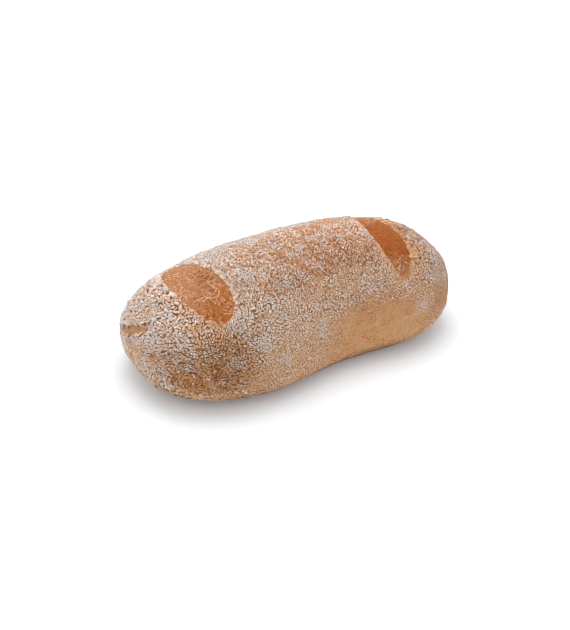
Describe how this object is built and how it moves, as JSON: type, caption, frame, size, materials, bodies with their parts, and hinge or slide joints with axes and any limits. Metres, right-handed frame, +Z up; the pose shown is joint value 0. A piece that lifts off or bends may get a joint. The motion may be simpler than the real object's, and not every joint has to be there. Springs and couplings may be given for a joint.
{
  "type": "bread loaf",
  "caption": "Oblong rustic bread loaf with a floured, crackled crust, a waisted front side and cuts across its rounded top; it rests on its flat baked base.",
  "frame": {"origin": "on the surface that the loaf rests on, below the middle of the loaf's length and width", "axes": "+X along the loaf towards its slightly taller end, -Y towards the waisted front side, +Z up through the crown"},
  "size_m": [0.27, 0.1496, 0.0867],
  "materials": {
    "crust": "matte baked crust under a crackled dusting of off-white flour"
  },
  "bodies": {
    "root": {"loaf": "crust"}
  },
  "joints": []
}
